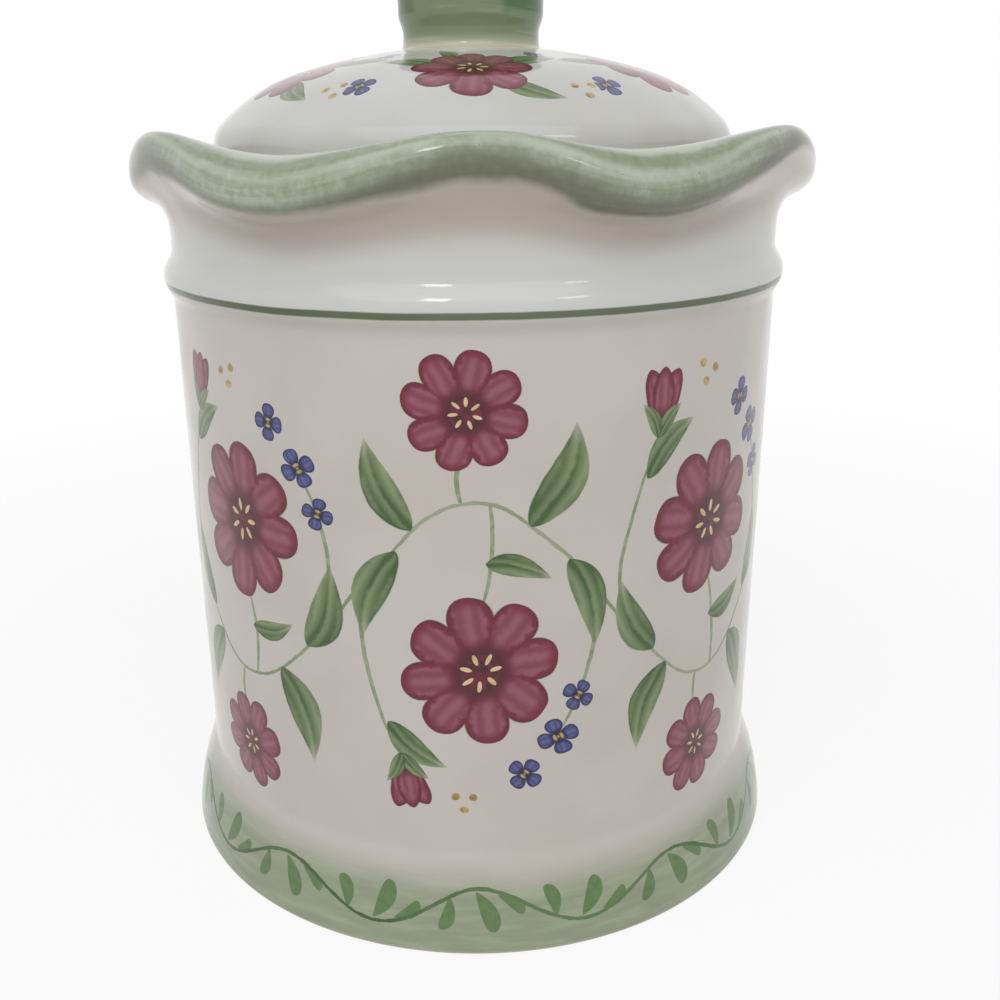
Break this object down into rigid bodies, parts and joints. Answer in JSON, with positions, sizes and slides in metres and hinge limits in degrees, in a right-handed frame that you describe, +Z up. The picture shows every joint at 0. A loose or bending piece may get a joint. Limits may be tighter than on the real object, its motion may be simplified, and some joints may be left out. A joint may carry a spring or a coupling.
{
  "type": "storage canister",
  "caption": "Glazed ceramic storage canister with a flared foot, a shoulder bead and a ruffled lip, closed by a loose domed lid with a knob and a seal ring.",
  "frame": {"origin": "centre of the foot ring, on the surface that the jar stands on", "axes": "+Z up along the jar's axis, -Y towards the front, where a crest of the ruffle is"},
  "size_m": [0.1682, 0.1648, 0.2316],
  "materials": {
    "jar_glaze": "glossy white glaze with green washes and a painted garland",
    "lid_glaze": "glossy white glaze with painted flowers",
    "knob_glaze": "glossy sage green glaze",
    "seal": "matt milky silicone"
  },
  "bodies": {
    "jar": {"jar_body": "jar_glaze"},
    "seal": {"seal_ring": "seal"},
    "lid": {"lid": "lid_glaze", "lid_knob": "knob_glaze"}
  },
  "joints": [
    {"name": "lid_lift", "type": "slide", "parent": "jar", "child": "seal", "axis": [0, 0, 1], "range_m": [0, 0.08]},
    {"name": "lid_turn", "type": "hinge", "parent": "seal", "child": "lid", "pos_m": [0, 0, 0.17], "axis": [0, 0, 1], "continuous": true}
  ]
}
